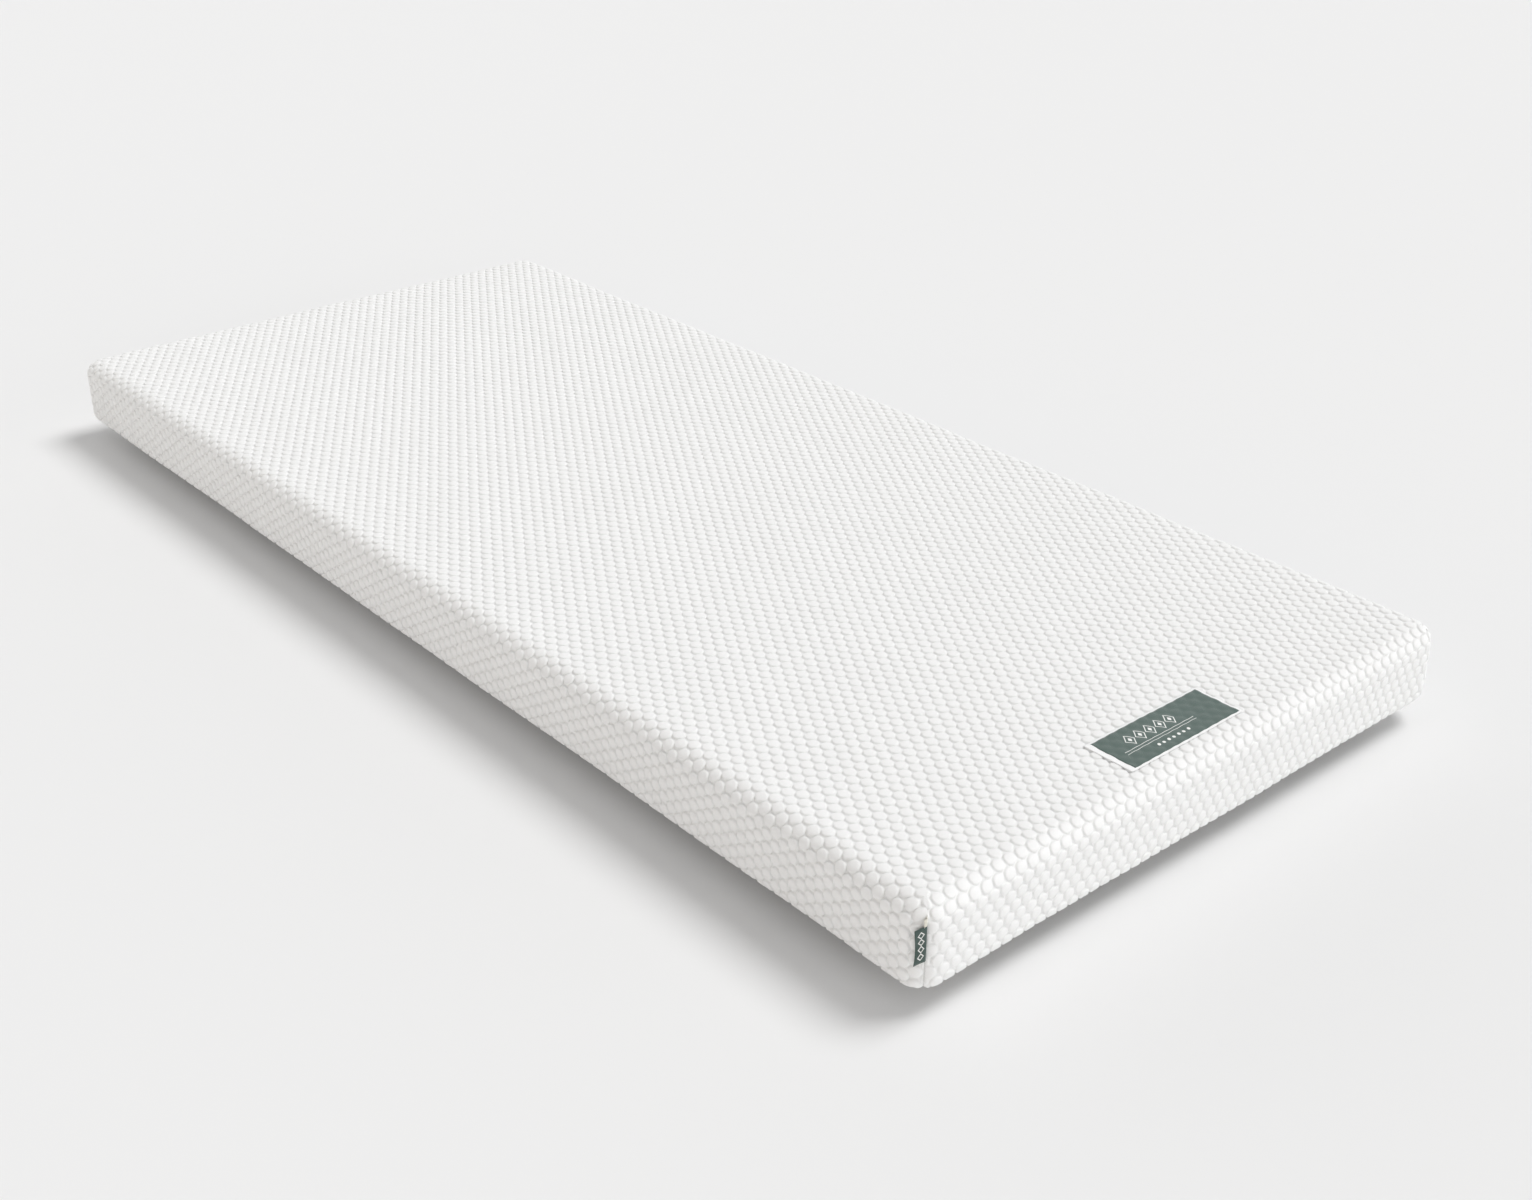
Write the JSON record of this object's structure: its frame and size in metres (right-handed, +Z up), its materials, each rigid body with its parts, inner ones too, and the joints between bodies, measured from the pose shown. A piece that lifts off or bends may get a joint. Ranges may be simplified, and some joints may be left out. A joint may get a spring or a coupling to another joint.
{
  "type": "memory foam mattress",
  "caption": "Thin single memory foam mattress: two foam layers in a sock, inside a white bubble-knit cover with corner seams, a long side zip, a woven label and a side tab.",
  "frame": {"origin": "middle of the underside, on the surface that the mattress lies on", "axes": "+Z up; +Y along the length, from the foot end with the label to the head end; +X across the width, towards the side with the zip"},
  "size_m": [0.9045, 2, 0.1076],
  "materials": {
    "cover_knit": "matte",
    "base_knit": "matte",
    "seam_thread": "matte",
    "sock_knit": "matte",
    "memory_foam": "matte",
    "base_foam": "matte",
    "label_weave": "satin",
    "label_border": "satin",
    "tab_weave": "satin",
    "zip_tape": "matte",
    "zip_teeth": "satin",
    "zip_metal": "satin"
  },
  "bodies": {
    "mattress": {"memory_foam_layer": "memory_foam", "base_foam_layer": "base_foam", "inner_sock": "sock_knit", "cover_cap": "cover_knit", "cover_base_panel": "base_knit", "base_seam": "seam_thread", "corner_seam_foot_left": "seam_thread", "corner_seam_foot_right": "seam_thread", "corner_seam_head_left": "seam_thread", "corner_seam_head_right": "seam_thread", "side_tab": "tab_weave", "top_label": "label_weave", "top_label_border": "label_border", "zip_tape_upper": "zip_tape", "zip_tape_lower": "zip_tape", "zip_teeth_upper": "zip_teeth", "zip_teeth_lower": "zip_teeth", "zip_top_stops": "zip_metal", "zip_bottom_stop": "zip_teeth"},
    "slider": {"zip_slider": "zip_metal"},
    "pull": {"zip_pull": "zip_metal"}
  },
  "joints": [
    {"name": "zip_slide", "type": "slide", "parent": "mattress", "child": "slider", "axis": [0, 1, 0], "range_m": [0, 1.8144]},
    {"name": "pull_swing", "type": "hinge", "parent": "slider", "child": "pull", "pos_m": [0.4524, -0.9094, 0.038], "axis": [0, 0, -1], "range_deg": [0, 165]}
  ]
}
